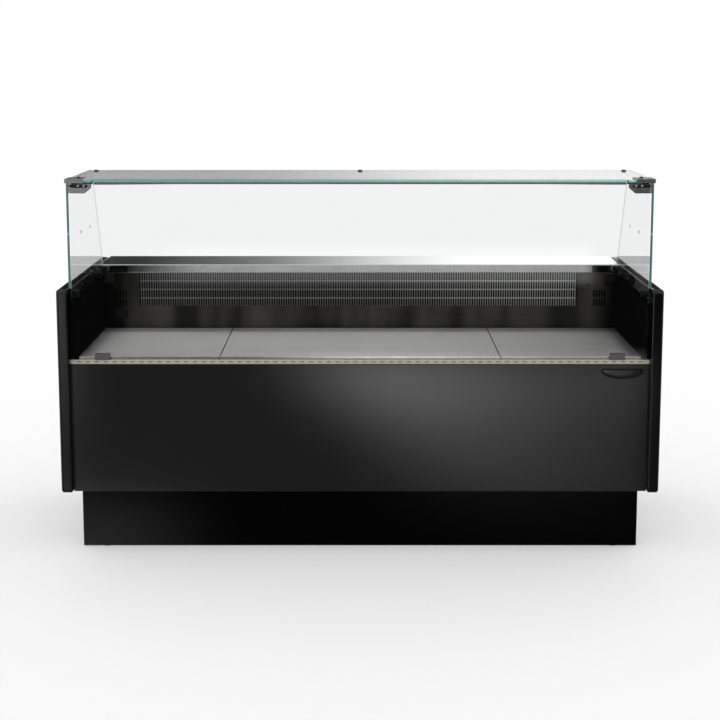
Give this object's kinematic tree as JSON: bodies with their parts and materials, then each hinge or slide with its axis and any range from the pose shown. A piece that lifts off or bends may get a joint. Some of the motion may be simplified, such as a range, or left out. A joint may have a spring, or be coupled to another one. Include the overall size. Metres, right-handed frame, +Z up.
{
  "type": "deli display case",
  "caption": "Refrigerated serve-over counter with a lift-up front glass, side and top glass, lift-out deck trays, slotted rear duct panel and stainless worktop on a recessed plinth.",
  "frame": {"origin": "on the floor under the middle of the case", "axes": "+X to the right seen from the customer's side, -Y towards the customer, +Z up"},
  "size_m": [2.074, 0.81, 1.3265],
  "materials": {
    "black_moulding": "satin",
    "black_sheet": "satin",
    "charcoal_sheet": "satin",
    "strip_aluminium": "satin",
    "stainless": "brushed",
    "galvanised": "matte",
    "foam": "matte",
    "clear_glass": "polished",
    "hinge_metal": "polished",
    "black_plastic": "matte",
    "clip_plastic": "satin",
    "diffuser": "satin",
    "window": "gloss",
    "keys": "matte",
    "rockers": "gloss",
    "screws": "polished",
    "coil_fins": "matte",
    "motor_paint": "satin",
    "copper": "satin",
    "grey_plastic": "matte",
    "feet": "satin"
  },
  "bodies": {
    "case": {"end_panel_left": "black_moulding", "end_panel_right": "black_moulding", "side_liners": "black_moulding", "plinth_front": "black_sheet", "plinth_returns": "black_sheet", "front_panel": "charcoal_sheet", "front_strip": "strip_aluminium", "led_profile": "strip_aluminium", "worktop": "stainless", "rear_grille": "stainless", "deck_bearers": "stainless", "fan_plate": "stainless", "tank_liner": "stainless", "rear_panels": "stainless", "rear_louvre_panel": "stainless", "control_fascia": "stainless", "chassis_frame": "galvanised", "tank_outer_skin": "galvanised", "unit_base": "galvanised", "condenser_shroud": "galvanised", "tank_insulation": "foam", "top_glass": "clear_glass", "side_glass_left": "clear_glass", "side_glass_right": "clear_glass", "hinge_brackets": "hinge_metal", "hinge_pins": "hinge_metal", "clamp_knobs": "black_plastic", "wall_covers": "black_plastic", "glass_caps": "black_plastic", "controller_body": "black_plastic", "switch_bodies": "black_plastic", "cable_gland": "black_plastic", "led_diffuser": "diffuser", "controller_window": "window", "panel_screws": "screws", "evaporator_coil": "coil_fins", "condenser_coil": "coil_fins", "fan_motors": "motor_paint", "compressor": "motor_paint", "refrigerant_pipes": "copper", "electrical_box": "grey_plastic", "condensate_drain": "grey_plastic"},
    "front_glass": {"front_glass": "clear_glass", "hinge_arms": "hinge_metal", "glass_catches": "clip_plastic"},
    "deck_tray_1": {"deck_tray_1": "stainless"},
    "deck_tray_2": {"deck_tray_2": "stainless"},
    "deck_tray_3": {"deck_tray_3": "stainless"},
    "evaporator_fan_left": {"evaporator_fan_left": "black_plastic"},
    "evaporator_fan_right": {"evaporator_fan_right": "black_plastic"},
    "condenser_fan": {"condenser_fan": "black_plastic"},
    "foot_front_left": {"foot_front_left": "feet"},
    "foot_front_right": {"foot_front_right": "feet"},
    "foot_rear_left": {"foot_rear_left": "feet"},
    "foot_rear_right": {"foot_rear_right": "feet"},
    "light_rocker": {"light_rocker": "rockers"},
    "power_rocker": {"power_rocker": "rockers"},
    "key_up": {"key_up": "keys"},
    "key_down": {"key_down": "keys"}
  },
  "joints": [
    {"name": "front_glass_hinge", "type": "hinge", "parent": "case", "child": "front_glass", "pos_m": [0, -0.365, 1.299], "axis": [-1, 0, 0], "range_deg": [0, 90]},
    {"name": "deck_tray_1_lift", "type": "slide", "parent": "case", "child": "deck_tray_1", "axis": [0, 0, 1], "range_m": [0, 0.14]},
    {"name": "deck_tray_2_lift", "type": "slide", "parent": "case", "child": "deck_tray_2", "axis": [0, 0, 1], "range_m": [0, 0.14]},
    {"name": "deck_tray_3_lift", "type": "slide", "parent": "case", "child": "deck_tray_3", "axis": [0, 0, 1], "range_m": [0, 0.14]},
    {"name": "evaporator_fan_left_spin", "type": "hinge", "parent": "case", "child": "evaporator_fan_left", "pos_m": [-0.41, -0.13, 0.611], "axis": [0, 1, 0], "continuous": true},
    {"name": "evaporator_fan_right_spin", "type": "hinge", "parent": "case", "child": "evaporator_fan_right", "pos_m": [0.41, -0.13, 0.611], "axis": [0, 1, 0], "continuous": true},
    {"name": "condenser_fan_spin", "type": "hinge", "parent": "case", "child": "condenser_fan", "pos_m": [0, 0.234, 0.324], "axis": [0, -1, 0], "continuous": true},
    {"name": "foot_front_left_level", "type": "slide", "parent": "case", "child": "foot_front_left", "axis": [0, 0, -1], "range_m": [0, 0.02]},
    {"name": "foot_front_right_level", "type": "slide", "parent": "case", "child": "foot_front_right", "axis": [0, 0, -1], "range_m": [0, 0.02]},
    {"name": "foot_rear_left_level", "type": "slide", "parent": "case", "child": "foot_rear_left", "axis": [0, 0, -1], "range_m": [0, 0.02]},
    {"name": "foot_rear_right_level", "type": "slide", "parent": "case", "child": "foot_rear_right", "axis": [0, 0, -1], "range_m": [0, 0.02]},
    {"name": "light_rocker_tilt", "type": "hinge", "parent": "case", "child": "light_rocker", "pos_m": [0.7, 0.377, 0.862], "axis": [-1, 0, 0], "range_deg": [0, 16]},
    {"name": "power_rocker_tilt", "type": "hinge", "parent": "case", "child": "power_rocker", "pos_m": [0.74, 0.377, 0.862], "axis": [-1, 0, 0], "range_deg": [0, 16]},
    {"name": "key_up_press", "type": "slide", "parent": "case", "child": "key_up", "axis": [0, -1, 0], "range_m": [0, 0.0008], "stiffness_N_per_m": 300},
    {"name": "key_down_press", "type": "slide", "parent": "case", "child": "key_down", "axis": [0, -1, 0], "range_m": [0, 0.0008], "stiffness_N_per_m": 300}
  ]
}
